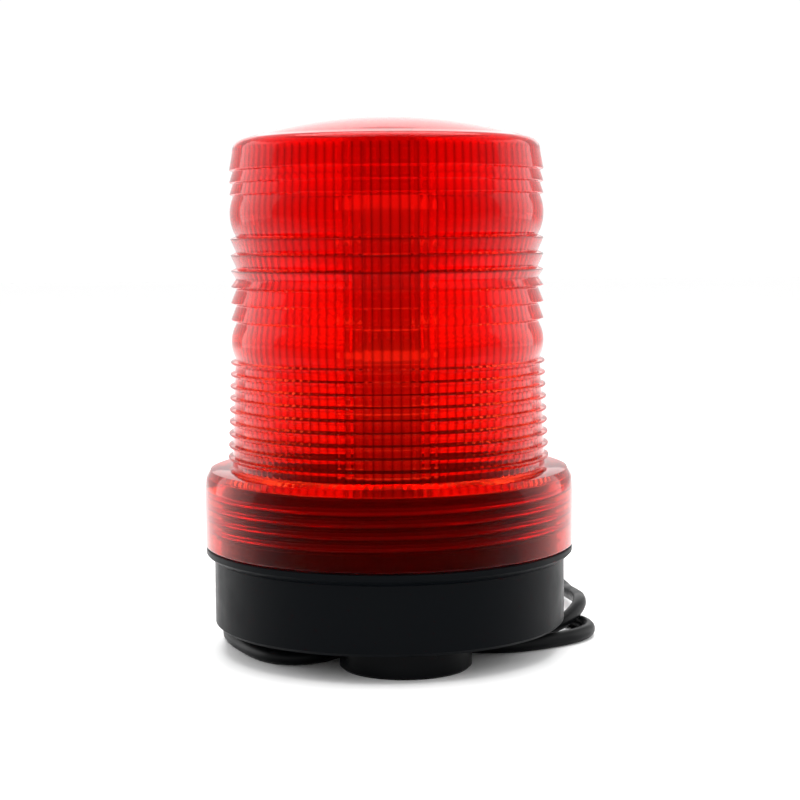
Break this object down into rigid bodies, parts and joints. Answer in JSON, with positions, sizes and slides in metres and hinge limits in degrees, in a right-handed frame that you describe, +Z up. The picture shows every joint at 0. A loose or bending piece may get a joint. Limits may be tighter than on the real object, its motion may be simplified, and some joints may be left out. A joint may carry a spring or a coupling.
{
  "type": "led safety flare",
  "caption": "Magnet-mounted LED warning beacon: ribbed red screw-on lens over an LED tower, black round base, and a lead with a vehicle power plug.",
  "frame": {"origin": "on the lens axis, at the plane that the three magnets rest on", "axes": "+Z up along the lens axis; -Y towards the magnet that shows at the front; the lead leaves the back"},
  "size_m": [0.1119, 0.2109, 0.1435],
  "materials": {
    "lens_polycarbonate": "clear red, polished, ribbed outside and fluted inside",
    "gasket_silicone": "matt",
    "base_abs": "fine satin, moulded",
    "plate_painted_steel": "satin black",
    "magnet_nickel_steel": "black coated pressed steel",
    "magnet_ferrite": "ground, dull",
    "screw_zinc_steel": "zinc plated",
    "driver_board_laminate": "solder mask",
    "capacitor_sleeve": "dark sleeve, bare top",
    "chip_epoxy": "moulded",
    "terminal_nylon": "moulded",
    "tower_moulding": "moulded",
    "tower_shelf_acetal": "moulded",
    "led_board_laminate": "white solder mask",
    "led_resin": "clear resin over a pale cup",
    "wire_insulation": "satin",
    "cord_pvc": "satin",
    "gland_pvc": "satin, moulded",
    "tie_nylon": "moulded",
    "plug_bakelite": "moulded",
    "plug_nickel_brass": "nickel plated",
    "fuse_glass": "clear, with metal end caps"
  },
  "bodies": {
    "base": {"base_housing": "base_abs", "bottom_plate": "plate_painted_steel", "coil_tie": "tie_nylon", "cord_coil": "cord_pvc", "cord_gland": "gland_pvc", "cord_lead": "cord_pvc", "cord_tail": "cord_pvc", "driver_board": "driver_board_laminate", "driver_capacitors": "capacitor_sleeve", "driver_chips": "chip_epoxy", "driver_screws": "screw_zinc_steel", "lead_cores": "wire_insulation", "lead_terminal": "terminal_nylon", "led_boards_1": "led_board_laminate", "led_boards_2": "led_board_laminate", "led_boards_3": "led_board_laminate", "led_boards_4": "led_board_laminate", "led_boards_5": "led_board_laminate", "leds_1": "led_resin", "leds_2": "led_resin", "leds_3": "led_resin", "leds_4": "led_resin", "leds_5": "led_resin", "magnet_cup_front": "magnet_nickel_steel", "magnet_cup_left": "magnet_nickel_steel", "magnet_cup_right": "magnet_nickel_steel", "magnet_ferrite_front": "magnet_ferrite", "magnet_ferrite_left": "magnet_ferrite", "magnet_ferrite_right": "magnet_ferrite", "magnet_nuts": "screw_zinc_steel", "magnet_screws": "screw_zinc_steel", "plate_screws": "screw_zinc_steel", "plug_body": "plug_bakelite", "plug_rear_contact": "plug_nickel_brass", "plug_relief": "gland_pvc", "plug_ring": "plug_bakelite", "plug_spring": "plug_nickel_brass", "tower_cap": "tower_shelf_acetal", "tower_core": "tower_moulding", "tower_foot": "tower_moulding", "tower_nut": "screw_zinc_steel", "tower_rod": "screw_zinc_steel", "tower_shelf_1": "tower_shelf_acetal", "tower_shelf_2": "tower_shelf_acetal", "tower_shelf_3": "tower_shelf_acetal", "tower_shelf_4": "tower_shelf_acetal", "tower_shelf_5": "tower_shelf_acetal", "tower_wires": "wire_insulation"},
    "lens": {"lens": "lens_polycarbonate"},
    "gasket_ring": {"lens_gasket": "gasket_silicone"},
    "plug_tip": {"plug_fuse": "fuse_glass", "plug_tip": "plug_nickel_brass"},
    "plug_contact_left": {"plug_side_contact_left": "plug_nickel_brass"},
    "plug_contact_right": {"plug_side_contact_right": "plug_nickel_brass"}
  },
  "joints": [
    {"name": "lens_lift", "type": "slide", "parent": "base", "child": "gasket_ring", "axis": [0, 0, 1], "range_m": [0, 0.0125]},
    {"name": "lens_turn", "type": "hinge", "parent": "gasket_ring", "child": "lens", "pos_m": [0, 0, 0.047], "axis": [0, 0, 1], "range_deg": [0, 1440]},
    {"name": "plug_tip_press", "type": "slide", "parent": "base", "child": "plug_tip", "axis": [0, 1, 0], "range_m": [0, 0.0025], "stiffness_N_per_m": 1500, "springref_m": -0.003},
    {"name": "contact_left_press", "type": "slide", "parent": "base", "child": "plug_contact_left", "axis": [1, 0, 0], "range_m": [0, 0.001], "stiffness_N_per_m": 2000, "springref_m": -0.001},
    {"name": "contact_right_press", "type": "slide", "parent": "base", "child": "plug_contact_right", "axis": [-1, 0, 0], "range_m": [0, 0.001], "stiffness_N_per_m": 2000, "springref_m": -0.001}
  ],
  "couplings": [
    {"joint": "lens_lift", "follows": "lens_turn", "m_per_rad": 0.00047746}
  ]
}
